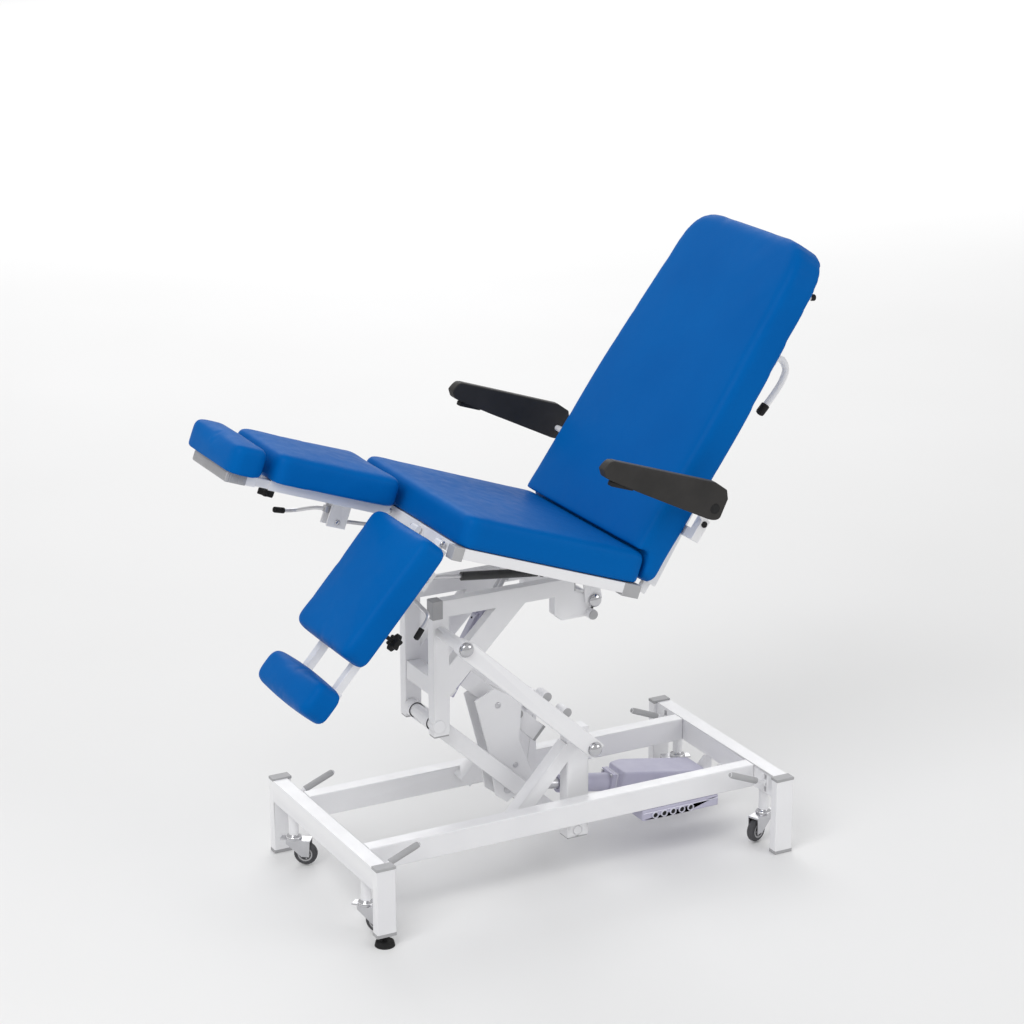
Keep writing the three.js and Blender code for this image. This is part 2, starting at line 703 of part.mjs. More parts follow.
// Foot section: two square slides under a board, drawn out of the leg frame by out.
function footFrame(side, out) {
  const { mid: center, frameHalf, slideOffset, cushionEnd, cushionBottom, frameDepth, slideSize } = leg;
  const mid = side.s * center;
  const top = cushionBottom - GAP;
  const low = top - frameDepth;
  const x = -cushionEnd - out;
  const slides = [mid - slideOffset, mid + slideOffset].map((y) => block(
    [x - 30, y - slideSize / 2, low + 2], [x + 236, y + slideSize / 2, low + 2 + slideSize],
  ));
  const box = block([x - foot.length + 10, mid - frameHalf, low], [x - 4, mid + frameHalf, top]);
  return weld(...slides, box);
}

function footCushion(side, out) {
  const [y0, y1] = across(side.s, leg.inner, leg.outer);
  const x = -leg.cushionEnd - out - 3;
  return cushion([
    [x - foot.length, y0, 34], [x - foot.length, y1, 34], [x, y1, 34], [x, y0, 34],
  ], leg.cushionBottom, leg.cushionBottom + foot.thickness, 20);
}

// Star grip that clamps the slides.
function starKnob(side) {
  const y = side.s * (leg.mid + leg.slideOffset);
  const low = leg.cushionBottom - GAP - leg.frameDepth;
  const points = [];
  for (let i = 0; i < 24; i += 1) {
    const angle = (i / 24) * Math.PI * 2;
    const radius = 19 + 4 * Math.cos(angle * 6);
    points.push(new THREE.Vector2(Math.cos(angle) * radius, Math.sin(angle) * radius));
  }
  const geometry = new THREE.ExtrudeGeometry(new THREE.Shape(points), { depth: 16, bevelEnabled: false });
  geometry.translate(-251, y, low - 46);
  return weld(solid(geometry), bar([-251, y, low - 32], [-251, y, low - GAP], 5, 5, 12));
}

// Release lever of the gas strut: it reaches from the bracket to the leg's outer edge.
function releaseLever(side) {
  const mid = side.s * leg.mid;
  const edge = side.s * 232;
  const low = leg.cushionBottom - GAP - leg.frameDepth;
  const z = low - 34;
  const y = mid + 13;
  return weld(
    bentTube([
      [-118, y, z], [-136, (3 * y + edge) / 4, z - 6], [-146, (y + 2 * edge) / 3, z - 20],
      [-154, edge, z - 32], [-182, edge, z - 39], [-212, edge, z - 42],
    ], 5, 24, 8),
    block([-124, y - 8, z - 8], [-106, y + 8, z + 8]),
  );
}

const strutTop = { x: -178, z: -46 };          // gas strut's fixed eye, in the seat's axes
const strutEye = { x: -88, z: -68 };           // its moving eye, in the leg's axes

const strut = { cylinder: 220, rod: 238, boreStart: 42 };

// Gas strut in its own frame: fixed eye at the origin, the rod leaves along +X.
function strutCylinder(y) {
  const cylinder = bar([12, y, 0], [strut.cylinder, y, 0], 11, 11, 16);
  const eye = shaft(0, 0, y - 8, y + 8, 11, 16);
  const link = block([4, y - 6, -7], [16, y + 6, 7]);
  const bore = bar([strut.boreStart, y, 0], [strut.cylinder + 5, y, 0], 5 + GAP, 5 + GAP, 12);
  return cut(weld(cylinder, eye, link), bore);
}

function strutRod(y, rodEnd) {
  const rod = bar([rodEnd - strut.rod, y, 0], [rodEnd - 8, y, 0], 5, 5, 12);
  const eye = block([rodEnd - 14, y - 9, -9], [rodEnd + 8, y + 9, 9]);
  return weld(rod, eye);
}

// ---------- assembly of the top ----------

const legSettings = {
  near: { degrees: -leg.nearAngle, out: foot.nearOut },
  far: { degrees: -leg.farAngle, out: foot.farOut },
};

function seatToWorld({ x, z }) {
  const point = new THREE.Vector3(x, 0, z)
    .applyAxisAngle(new THREE.Vector3(0, 1, 0), THREE.MathUtils.degToRad(seat.tilt));
  return { x: point.x + seat.x, z: point.z + seat.z };
}

const legHinge = seatToWorld({ x: leg.hingeX, z: leg.hingeZ });

function legToWorld({ x, z }, degrees) {
  const point = new THREE.Vector3(x, 0, z)
    .applyAxisAngle(new THREE.Vector3(0, 1, 0), THREE.MathUtils.degToRad(degrees));
  return { x: point.x + legHinge.x, z: point.z + legHinge.z };
}

chair.add(turned(
  seat.x, seat.z, seat.tilt,
  mesh('seat_frame', seatFrame(), materials.frame),
  mesh('seat_cushion', seatCushion(), materials.upholstery),
));

for (const side of sides) {
  const { degrees, out } = legSettings[side.word];
  const mid = side.s * leg.mid + 13;
  chair.add(turned(
    legHinge.x, legHinge.z, degrees,
    mesh(`leg_frame_${side.word}`, legFrame(side), materials.frame),
    mesh(`calf_cushion_${side.word}`, calfCushion(side), materials.upholstery),
    mesh(`foot_frame_${side.word}`, footFrame(side, out), materials.frame),
    mesh(`foot_cushion_${side.word}`, footCushion(side, out), materials.upholstery),
    mesh(`slide_knob_${side.word}`, starKnob(side), materials.black),
    mesh(`release_lever_${side.word}`, releaseLever(side), materials.chrome),
  ));
  const fixed = seatToWorld(strutTop);
  const moving = legToWorld(strutEye, degrees);
  const line = direction(fixed, moving);
  chair.add(turned(
    fixed.x, fixed.z, -line.degrees,
    mesh(`strut_cylinder_${side.word}`, strutCylinder(mid), materials.black),
    mesh(`strut_rod_${side.word}`, strutRod(mid, line.length), materials.chrome),
  ));
}

chair.add(turned(
  back.x, back.z, -back.angle,
  mesh('back_frame', backFrame(), materials.frame),
  mesh('back_cushion', backCushion(), materials.upholstery),
  mesh('back_handle', backHandle(), materials.frame),
));

for (const side of sides) {
  const bracket = mesh(`armrest_bracket_${side.word}`, armrestBracket(side), materials.frame);
  const rest = mesh(`armrest_${side.word}`, armrestPad(side), materials.armrest);
  chair.add(
    turned(back.x, back.z, -back.angle, bracket),
    turned(armrest.pivotX, armrest.pivotZ, armrest.angle, rest),
  );
}

// Centre the chair's overall box on the origin in X.
const overall = new THREE.Box3().setFromObject(chair);
chair.position.x = -(overall.min.x + overall.max.x) / 2;

export default chair;
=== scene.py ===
"""Studio scene of a three-section treatment chair with split leg rests on a lift base."""

import json
import math

import bmesh
import bpy
from mathutils import Matrix, Vector


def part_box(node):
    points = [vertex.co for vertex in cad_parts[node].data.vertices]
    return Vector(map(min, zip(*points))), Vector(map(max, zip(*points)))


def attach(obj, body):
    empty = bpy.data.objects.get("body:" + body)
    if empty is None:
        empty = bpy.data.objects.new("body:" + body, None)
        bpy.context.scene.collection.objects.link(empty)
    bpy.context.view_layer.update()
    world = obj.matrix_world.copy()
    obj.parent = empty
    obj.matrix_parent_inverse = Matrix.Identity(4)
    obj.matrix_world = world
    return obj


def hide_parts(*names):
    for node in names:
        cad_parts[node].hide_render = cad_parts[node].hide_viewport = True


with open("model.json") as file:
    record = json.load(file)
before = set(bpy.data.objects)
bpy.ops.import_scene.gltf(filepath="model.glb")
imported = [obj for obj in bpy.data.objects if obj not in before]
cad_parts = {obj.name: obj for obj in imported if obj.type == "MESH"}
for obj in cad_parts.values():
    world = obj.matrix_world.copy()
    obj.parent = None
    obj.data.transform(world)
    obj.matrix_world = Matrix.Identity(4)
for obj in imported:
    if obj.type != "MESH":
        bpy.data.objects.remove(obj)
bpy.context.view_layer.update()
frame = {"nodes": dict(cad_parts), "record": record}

# ---------- sizes, in millimetres, in the chair's own axes ----------

MM = 0.001
HALF_LENGTH = 585
HALF_WIDTH = 317
POST_X, POST_Y, POST_TOP = 50, 27, 205
SIDES = {"near": -1, "far": 1}
ENDS = {"foot": -1, "head": 1}

# The frame's X origin is the middle of the overall box; the sizes here count from the base's middle.
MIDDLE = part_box("foot_end_frame")[0].x + HALF_LENGTH * MM


def axes(x, z, degrees=0.0, y=0.0):
    """A part's own axes: millimetres there, metres in the row frame. A positive angle lifts -X."""
    place = Matrix.Translation((MIDDLE + x * MM, y * MM, z * MM))
    return place @ Matrix.Rotation(math.radians(degrees), 4, "Y") @ Matrix.Scale(MM, 4)


def turned(x, z, degrees, origin=(0.0, 0.0)):
    """The point (x, z) of axes turned by degrees about the origin, in the chair's axes."""
    a = math.radians(degrees)
    return (
        origin[0] + x * math.cos(a) + z * math.sin(a),
        origin[1] - x * math.sin(a) + z * math.cos(a),
    )


GROUND = axes(0, 0)
SEAT_TILT = 19.8
SEAT = axes(139, 785, SEAT_TILT)
BACK = axes(146, 776, -55)
ARMREST = axes(278, 990.5, 18.5)
UPPER_ARMS = axes(54, 354, 42.55)
LOWER_ARMS = axes(48, 109, 42.55)
ARM_LENGTH = 480.6
LEG_HINGE = turned(-522, -13, SEAT_TILT, (139, 785))
LEG_TURN = {"near": -48.3, "far": 19.8}
LEGS = {side: axes(*LEG_HINGE, turn) for side, turn in LEG_TURN.items()}
LEG_MID, LEG_HALF = 143, 98
FOOT_OUT = {"near": 66, "far": 22}
CASTOR = {"x": 565, "y": 213, "trail": 30, "wheel_z": 33}
CASTOR_TURN = {("foot", "near"): -50, ("foot", "far"): -38, ("head", "near"): -160, ("head", "far"): 160}


def along(start, end):
    """Axes that start at one point and point +X at another."""
    return axes(*start, -math.degrees(math.atan2(end[1] - start[1], end[0] - start[0])))


LIFT_ACTUATOR = along((524, 92), (-84, 200))
TILT_ACTUATOR = along((-248, 500), (-88, 772))
CRANK_TUBE = along((22, 320), (-186, 508))

# ---------- materials ----------


class Look:
    """A procedural material on the Principled shader, in the piece's own coordinates."""

    def __init__(self, name, roughness, metallic=0.0, **sockets):
        self.material = bpy.data.materials.new(name)
        self.material.use_nodes = True
        self.nodes = self.material.node_tree.nodes
        self.links = self.material.node_tree.links
        self.shader = self.nodes["Principled BSDF"]
        self.shader.inputs["Roughness"].default_value = roughness
        self.shader.inputs["Metallic"].default_value = metallic
        for socket, value in sockets.items():
            self.shader.inputs[socket.replace("_", " ")].default_value = value
        self.place = self.nodes.new("ShaderNodeTexCoord").outputs["Object"]
        self.relief = None

    def noise(self, scale, detail=2.0):
        node = self.nodes.new("ShaderNodeTexNoise")
        node.inputs["Scale"].default_value = scale
        node.inputs["Detail"].default_value = detail
        self.links.new(self.place, node.inputs["Vector"])
        return node.outputs["Fac"]

    def cells(self, scale, feature="F1"):
        node = self.nodes.new("ShaderNodeTexVoronoi")
        node.feature = feature
        node.inputs["Scale"].default_value = scale
        self.links.new(self.place, node.inputs["Vector"])
        return node.outputs["Distance"]

    def edges(self, low, high):
        """1 on convex edges, 0 on flats."""
        pointed = self.nodes.new("ShaderNodeNewGeometry").outputs["Pointiness"]
        return self.remap(pointed, low, high, 0.0, 1.0)

    def remap(self, value, low, high, to_low, to_high):
        node = self.nodes.new("ShaderNodeMapRange")
        for socket, number in zip(("From Min", "From Max", "To Min", "To Max"), (low, high, to_low, to_high)):
            node.inputs[socket].default_value = number
        self.links.new(value, node.inputs["Value"])
        return node.outputs["Result"]

    def mix(self, factor, first, second):
        node = self.nodes.new("ShaderNodeMix")
        node.data_type = "RGBA"
        for socket, colour in (("A", first), ("B", second)):
            target = next(s for s in node.inputs if s.name == socket and s.type == "RGBA")
            if isinstance(colour, tuple):
                target.default_value = (*colour, 1)
            else:
                self.links.new(colour, target)
        self.links.new(factor, node.inputs["Factor"])
        return next(s for s in node.outputs if s.type == "RGBA")

    def colour(self, value):
        self.links.new(value, self.shader.inputs["Base Color"])
        return self

    def roughness(self, value, low, high):
        self.links.new(self.remap(value, 0.3, 0.7, low, high), self.shader.inputs["Roughness"])
        return self

    def bump(self, height, distance, strength=1.0):
        node = self.nodes.new("ShaderNodeBump")
        node.inputs["Strength"].default_value = strength
        node.inputs["Distance"].default_value = distance
        self.links.new(height, node.inputs["Height"])
        if self.relief is not None:
            self.links.new(self.relief, node.inputs["Normal"])
        self.relief = node.outputs["Normal"]
        self.links.new(self.relief, self.shader.inputs["Normal"])
        return self


def coated(name, pale, deep, edge_highlight, low, high, orange_peel=0.00003):
    """Powder-coated steel: faint cloudiness, orange-peel relief, and a painted highlight: lighter paint along
    the convex edges.
    """
    look = Look(name, (low + high) / 2, Specular_IOR_Level=0.5)
    cloud = look.remap(look.noise(5.0, 3.0), 0.35, 0.65, 0.0, 1.0)
    paint = look.mix(cloud, deep, pale)
    # Painted highlight: the convex edges are mixed towards the lighter edge colour.
    look.colour(look.mix(look.edges(0.56, 0.66), paint, edge_highlight))
    look.roughness(look.noise(24.0, 4.0), low, high)
    return look.bump(look.noise(520.0, 2.0), orange_peel, 0.6)


def moulded(name, pale, deep, low, high, grain=0.00006):
    """Moulded plastic: a fine spark-eroded grain and a painted highlight: lighter colour along the convex
    edges.
    """
    look = Look(name, (low + high) / 2, Specular_IOR_Level=0.2)
    cloud = look.remap(look.noise(14.0, 4.0), 0.35, 0.65, 0.0, 1.0)
    plastic = look.mix(cloud, deep, pale)
    # Painted highlight: convex edges lighter than the plastic.
    painted_edge_highlight = tuple(min(1.0, c * 1.35 + 0.01) for c in pale)
    look.colour(look.mix(look.edges(0.56, 0.7), plastic, painted_edge_highlight))
    look.roughness(look.noise(60.0, 3.0), low, high)
    return look.bump(look.cells(1500.0), grain, 0.5)


def vinyl():
    """Upholstery vinyl: pebble grain with finer pores, cloudy dye and a satin top coat."""
    look = Look("upholstery_vinyl", 0.42, Specular_IOR_Level=0.035)
    cloud = look.remap(look.noise(4.0, 4.0), 0.3, 0.7, 0.0, 1.0)
    dye = look.mix(cloud, (0.0, 0.104, 0.385), (0.0, 0.118, 0.42))
    pores = look.remap(look.cells(900.0), 0.0, 0.5, 0.0, 1.0)
    look.colour(look.mix(pores, (0.0, 0.088, 0.34), dye))
    look.roughness(look.noise(35.0, 4.0), 0.38, 0.5)
    look.bump(look.cells(900.0, "SMOOTH_F1"), 0.00012, 0.45)
    look.bump(look.noise(2600.0, 2.0), 0.00003, 0.5)
    return look.bump(look.noise(9.0, 2.0), 0.0012, 0.35)


def metal(name, tint, low, high, brushed=0.000006):
    """Plated steel: fine polishing marks and a little haze."""
    look = Look(name, (low + high) / 2, metallic=1.0)
    haze = look.remap(look.noise(18.0, 4.0), 0.3, 0.7, 0.0, 1.0)
    look.colour(look.mix(haze, tuple(c * 0.9 for c in tint), tint))
    look.roughness(look.noise(140.0, 5.0), low, high)
    return look.bump(look.noise(900.0, 3.0), brushed, 0.5)


# The third colour given to each coat is a painted highlight for its convex edges.
WHITE = coated("white_powder_coat", (0.83, 0.83, 0.845), (0.795, 0.795, 0.815), (0.87, 0.87, 0.88), 0.3, 0.44)
STRUT_BLACK = coated(
    "strut_black_paint", (0.02, 0.021, 0.022), (0.014, 0.014, 0.015), (0.07, 0.07, 0.07), 0.25, 0.38,
)
# Each plastic below also gets a painted highlight along its convex edges, lighter than its pale colour.
GREY = moulded("grey_plastic", (0.42, 0.42, 0.43), (0.38, 0.38, 0.39), 0.42, 0.55)
LILAC = moulded("lilac_plastic", (0.50, 0.49, 0.60), (0.45, 0.44, 0.555), 0.4, 0.52)
PANEL = moulded("lid_plastic", (0.62, 0.615, 0.70), (0.57, 0.565, 0.655), 0.42, 0.55)
CHARCOAL = moulded("charcoal_foam", (0.036, 0.034, 0.033), (0.028, 0.027, 0.026), 0.5, 0.66, 0.00012)
# A lighter charcoal laid on top of the armrests: a painted highlight on their top face.
ARMREST_TOP_HIGHLIGHT = moulded("charcoal_top_highlight", (0.085, 0.082, 0.08), (0.07, 0.068, 0.066), 0.45, 0.6, 0.0001)
BLACK = moulded("black_rubber", (0.018, 0.018, 0.019), (0.012, 0.012, 0.012), 0.55, 0.72, 0.0001)
TYRE = moulded("tyre_rubber", (0.085, 0.085, 0.09), (0.065, 0.065, 0.07), 0.55, 0.7, 0.00009)
CHROME = metal("bright_chrome", (0.6, 0.6, 0.62), 0.06, 0.14)
ZINC = metal("satin_zinc", (0.62, 0.62, 0.64), 0.28, 0.42, 0.00002)
VINYL = vinyl()

SLOT_LOOKS = {
    "frame": WHITE,
    "lever": WHITE,
    "actuator": LILAC,
    "armrest": CHARCOAL,
    "rubber": BLACK,
    "tyre": TYRE,
    "strut": STRUT_BLACK,
    "chrome": ZINC,
}

# ---------- building helpers ----------

END_FRAME_SHORTEST_EDGE = 24


def new_piece(name, mesh, look, body):
    piece = bpy.data.objects.new(name, mesh)
    bpy.context.scene.collection.objects.link(piece)
    mesh.materials.clear()
    mesh.materials.append(look.material)
    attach(piece, body)
    return piece


def soften(piece, degrees=50):
    """Smooth shading whose normals follow the large faces."""
    for face in piece.data.polygons:
        face.use_smooth = True
    piece.data.set_sharp_from_angle(angle=math.radians(degrees))
    weighted = piece.modifiers.new("flat_faces", "WEIGHTED_NORMAL")
    weighted.keep_sharp = True
    return piece


def welded_copy(node):
    """A CAD node's mesh with its faces joined again."""
    shape = bmesh.new()
    shape.from_mesh(frame["nodes"][node].data)
    bmesh.ops.remove_doubles(shape, verts=shape.verts, dist=1e-5)
    return shape


def round_edges(shape, width, shortest, least_angle=38, segments=3):
    """Rounds the sharp convex edges of a shape that are longer than shortest and can take the width."""
    width *= MM
    edges = [
        e for e in shape.edges
        if len(e.link_faces) == 2 and e.is_convex
        and e.calc_face_angle(0) > math.radians(least_angle)
        and e.calc_length() > max(0.4 * width, shortest * MM)
    ]
    bmesh.ops.bevel(
        shape, geom=edges, offset=width, segments=segments, profile=0.5, affect="EDGES", clamp_overlap=False,
    )


def finished(node, width):
    """A CAD node redrawn with rounded edges and its slot's material."""
    shape = welded_copy(node)
    bmesh.ops.dissolve_limit(shape, angle_limit=math.radians(1), verts=shape.verts, edges=shape.edges)
    round_edges(shape, width, END_FRAME_SHORTEST_EDGE if node.endswith("end_frame") else 0)
    mesh = bpy.data.meshes.new(node + "_finish")
    shape.to_mesh(mesh)
    shape.free()
    slot = slot_of[node]
    piece = new_piece(node + "_finish", mesh, SLOT_LOOKS[slot], body_of[node])
    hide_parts(node)
    return soften(piece)


class Trim:
    """Small pieces of one material on one body, gathered in one mesh."""

    def __init__(self, name, body, slot, look, place=GROUND):
        self.name, self.body, self.slot, self.look, self.place = name, body, slot, look, place
        self.shape = bmesh.new()

    def add(self, part, place=None):
        part.transform(place or self.place)
        bmesh.ops.recalc_face_normals(part, faces=part.faces)
        mesh = bpy.data.meshes.new("part")
        part.to_mesh(mesh)
        part.free()
        self.shape.from_mesh(mesh)
        bpy.data.meshes.remove(mesh)
        return self

    def block(self, low, high, radius=1.5, place=None):
        """A box with rounded edges between two corners."""
        part = bmesh.new()
        bmesh.ops.create_cube(part, size=1)
        low, high = Vector(map(min, low, high)), Vector(map(max, low, high))
        part.transform(Matrix.Translation((low + high) / 2) @ Matrix.Diagonal((*(high - low), 1)))
        bmesh.ops.bevel(part, geom=part.edges[:], offset=radius, segments=3, profile=0.5, affect="EDGES")
        return self.add(part, place)

    def lathe(self, centre, direction, profile, sides=32, place=None):
        """A profile of (radius, height) turned about an axis through centre."""
        part = bmesh.new()
        rings = [
            [
                part.verts.new((r * math.cos(k * math.tau / sides), r * math.sin(k * math.tau / sides), h))
                for k in range(sides)
            ]
            for r, h in profile
        ]
        for lower, upper in zip(rings, rings[1:]):
            for k in range(sides):
                part.faces.new((lower[k], lower[(k + 1) % sides], upper[(k + 1) % sides], upper[k]))
        part.faces.new(rings[0][::-1])
        part.faces.new(rings[-1])
        turn = Vector(direction).normalized().to_track_quat("Z", "Y").to_matrix().to_4x4()
        part.transform(Matrix.Translation(centre) @ turn)
        return self.add(part, place)

    def tube(self, points, radius, sides=18, place=None):
        """A round tube through points, with its corners drawn smooth."""
        line = smooth_line([Vector(p) for p in points], 6)
        part = bmesh.new()
        rings, across = [], None
        for i, point in enumerate(line):
            ahead = (line[min(i + 1, len(line) - 1)] - line[max(i - 1, 0)]).normalized()
            if across is None:
                across = ahead.orthogonal().normalized()
            across = (across - ahead * across.dot(ahead)).normalized()
            up = ahead.cross(across)
            rings.append([
                part.verts.new(point + (across * math.cos(a) + up * math.sin(a)) * radius)
                for a in (k * math.tau / sides for k in range(sides))
            ])
        for lower, upper in zip(rings, rings[1:]):
            for k in range(sides):
                part.faces.new((lower[k], lower[(k + 1) % sides], upper[(k + 1) % sides], upper[k]))
        part.faces.new(rings[0][::-1])
        part.faces.new(rings[-1])
        return self.add(part, place)

    def done(self):
        mesh = bpy.data.meshes.new(self.name)
        self.shape.to_mesh(mesh)
        self.shape.free()
        return soften(new_piece(self.name, mesh, self.look, self.body))


def smooth_line(points, steps):
    """Points on a Catmull-Rom curve through the given ones."""
    padded = [2 * points[0] - points[1], *points, 2 * points[-1] - points[-2]]
    line = []
    for a, b, c, d in zip(padded, padded[1:], padded[2:], padded[3:]):
        for k in range(steps):
            t = k / steps
            line.append(0.5 * (
                2 * b + (c - a) * t + (2 * a - 5 * b + 4 * c - d) * t**2 + (3 * b - a - 3 * c + d) * t**3
            ))
    return [*line, points[-1]]


def dome(radius, height):
    """Profile of a domed cap."""
    lip = height * 0.25
    steps = 8
    curve = [
        (radius * math.cos(k / steps * math.pi / 2), lip + (height - lip) * math.sin(k / steps * math.pi / 2))
        for k in range(steps)
    ]
    return [(radius * 0.96, 0), (radius, lip * 0.4), *curve, (radius * 0.08, height)]


def button(radius, height, round_over=1.0):
    """Profile of a flat round plug with a softened rim."""
    return [
        (radius, 0), (radius, height - round_over), (radius - round_over * 0.3, height - round_over * 0.3),
        (radius - round_over, height), (radius * 0.1, height),
    ]


# ---------- the frame and mechanism ----------

record = frame["record"]
slot_of = {part["node"]: part["material_slot"] for part in record["subparts"]}
body_of = {node: body for body, nodes in record["behaviour"]["bodies"].items() for node in nodes}
cushions = sorted(node for node in slot_of if slot_of[node] == "upholstery")

EDGE_WIDTHS = {
    "rail": 3.0, "upper_arm": 3.0, "lower_arms": 2.5, "foot_end_frame": 3.0, "head_end_frame": 3.0,
    "carriage": 2.5, "seat_frame": 1.6, "leg_frame": 1.2, "foot_frame": 1.6, "back_frame": 2.0,
    "armrest_bracket": 1.2, "armrest_near": 3.0, "armrest_far": 3.0, "lift_crank": 1.2,
    "control_box": 4.0, "lift_actuator_body": 1.5, "tilt_actuator_body": 2.5, "slide_knob": 2.0,
}
PLAIN_WIDTH = 0.8

for node in sorted(slot_of):
    if node not in cushions:
        finished(node, next((w for start, w in EDGE_WIDTHS.items() if node.startswith(start)), PLAIN_WIDTH))

# Caps and plugs of the base.
caps = Trim("base_caps", "base", "lever", GREY)
for end, ex in ENDS.items():
    for side, sy in SIDES.items():
        x, y = ex * (HALF_LENGTH - POST_X / 2), sy * (HALF_WIDTH - POST_Y / 2)
        w, d = POST_X / 2 + 0.9, POST_Y / 2 + 0.9
        bottom = 26.2 if (end, side) == ("foot", "near") else 0.4
        caps.block((x - w, y - d, POST_TOP - 6.5), (x + w, y + d, POST_TOP + 1.2), 1.4)
        caps.block((x - w + 0.5, y - d + 0.5, bottom), (x + w - 0.5, y + d - 0.5, bottom + 9), 1.0)
for sy in SIDES.values():
    caps.block((19.5, sy * 116.5, 89.5), (76.5, sy * 154.5, 93), 1.2)
caps.lathe((-40, -9, 386), (0, -1, 0), button(11, 2.4))
caps.done()

sockets = Trim("control_box_sockets", "base", "actuator", PANEL)
pins = Trim("control_box_pins", "base", "rubber", BLACK)
for k in range(5):
    centre = (250 + k * 26, -195.5, 124)
    sockets.lathe(centre, (0, -1, 0), [
        (7.2, 0), (9.4, 0), (9.4, 3.4), (8.6, 4.4), (7.2, 4.4), (6.6, 3), (6.6, 0.6),
    ])
    pins.lathe(centre, (0, -1, 0), button(5.8, 2.2, 0.8))
sockets.block((222, -192, 138.5), (430, -122, 141.2), 1.2)
sockets.block((216, -197.2, 132), (436, -195.6, 134), 0.5)
sockets.done()
pins.done()

# Castors and their levers.
for end, ex in ENDS.items():
    for side, sy in SIDES.items():
        tag = f"{end}_{side}"
        tilt = math.radians(22)
        pivot = Vector((ex * 548, sy * 246, 170))
        point = Vector((-ex * math.cos(tilt), 0, math.sin(tilt)))
        grip = [
            (5.4, 32), (7.6, 32.4), (8.3, 34), (8.3, 44), (7.9, 45.2), (8.3, 46.4),
            (8.3, 108), (7.7, 114), (5.8, 118), (3, 120), (0.6, 120.5),
        ]
        Trim(f"castor_grip_{tag}", f"castor_lever_{tag}", "lever", GREY).lathe(pivot, point, grip).done()
        bolt = Trim(f"castor_lever_bolt_{tag}", f"castor_lever_{tag}", "chrome", ZINC)
        for out in (-1, 1):
            bolt.lathe(pivot + Vector((0, out * 5.2, 0)), (0, out, 0), dome(5.5, 3.5), 20)
        bolt.done()
        stem = (ex * CASTOR["x"], sy * CASTOR["y"])
        swivel = (
            Matrix.Translation((MIDDLE + stem[0] * MM, stem[1] * MM, 0))
            @ Matrix.Rotation(math.radians(CASTOR_TURN[end, side]), 4, "Z") @ Matrix.Scale(MM, 4)
        )
        housing = Trim(f"castor_race_{tag}", f"castor_stem_{tag}", "chrome", CHROME)
        race = [(20.4, 70), (21, 72), (20.6, 76), (18, 79.5), (14.2, 81.5), (13.4, 84)]
        housing.lathe((*stem, 0), (0, 0, 1), race).done()
        hub = Trim(f"castor_hub_{tag}", f"castor_wheel_{tag}", "lever", GREY, swivel)
        centre = Vector((CASTOR["trail"], 0, CASTOR["wheel_z"]))
        for out in (-1, 1):
            hub.lathe(centre, (0, out, 0), [
                (19, 9.2), (19, 10.4), (17, 10.8), (15, 9.8), (8, 9.8), (6.6, 11.6), (1, 11.9),
            ])
            for k in range(5):
                a = k * math.tau / 5
                spoke = centre + Vector((11.6 * math.cos(a), out * 9.6, 11.6 * math.sin(a)))
                hub.lathe(spoke, (0, out, 0), button(2.0, 1.2, 0.4), 12)
        hub.done()

# Lift arms: domed pivots, plugs in the stubs and tube ends, and the carriage's caps and spacer sleeves.
domes = Trim("arm_pivot_domes", "upper_arms", "chrome", CHROME, UPPER_ARMS)
stub_plugs = Trim("arm_stub_plugs", "upper_arms", "lever", GREY, UPPER_ARMS)
for sy in SIDES.values():
    for x in (0, -ARM_LENGTH):
        domes.lathe((x, sy * 228, 0), (0, sy, 0), [(19.4, -0.2), (19.4, 1.4), (17.6, 1.6)], 36)
        domes.lathe((x, sy * 229.4, 0), (0, sy, 0), dome(17.6, 12.6), 36)
for x in (-188, -112):
    stub_plugs.lathe((x, -198.8, 30), (0, -1, 0), button(12, 2.2))
domes.done()
stub_plugs.done()

lower_plugs = Trim("lower_arm_plugs", "lower_arms", "lever", GREY, LOWER_ARMS)
for sy in SIDES.values():
    lower_plugs.block((18, sy * 34, -19), (22.6, sy * 60, 19), 1.3)
half = 22.8
lower_plugs.block((-3.5, -3.4, -half), (5, 37.4, half), 1.6, CRANK_TUBE)
lower_plugs.done()

crank_pins = Trim("crank_pins", "lower_arms", "chrome", ZINC)
for (x, z), radius in (((-112, 432), 8), ((-62, 262), 7), ((-84, 200), 11)):
    for sy in SIDES.values():
        crank_pins.lathe((x, sy * 31.5, z), (0, sy, 0), dome(radius, 4), 24)
crank_pins.done()

carriage_caps = Trim("carriage_caps", "carriage", "lever", GREY)
sleeves = Trim("carriage_sleeves", "carriage", "chrome", ZINC)
top_pivot = turned(-ARM_LENGTH, 0, 42.55, (54, 354))
for sy in SIDES.values():
    carriage_caps.block((-321.4, sy * 61.8, 711), (-293, sy * 94.2, 758.4), 2.0)
    carriage_caps.block((69, sy * 64.5, 715.5), (73.5, sy * 91.5, 755.5), 1.6)
    carriage_caps.block((-318.5, sy * 64.5, 404), (-277.5, sy * 91.5, 409.5), 1.6)
    carriage_caps.lathe((113, sy * 111.6, 658), (0, sy, 0), button(12.2, 2.4))
    sleeve = [
        (13.6, 0), (14.4, 0.8), (14.4, 3), (13.2, 3.6), (13.2, 100), (14.4, 100.6), (14.4, 103), (13.6, 103.8),
    ]
    sleeves.lathe((top_pivot[0], sy * 93.5, top_pivot[1]), (0, sy, 0), sleeve)
carriage_caps.done()
sleeves.done()

# Seat pivot domes and seat-frame corner caps.
pivots = Trim("seat_pivot_domes", "seat", "chrome", CHROME)
for sy in SIDES.values():
    pivots.lathe((122, sy * 102.5, 692), (0, sy, 0), dome(17, 10))
pivots.done()
seat_caps = Trim("seat_corner_caps", "seat", "lever", GREY, SEAT)
for sy in SIDES.values():
    for x0, x1 in ((-528, -499), (-42, 7.2)):
        seat_caps.block((x0, sy * 257, -33), (x1, sy * 289.2, 0.2), 2.2)
seat_caps.done()

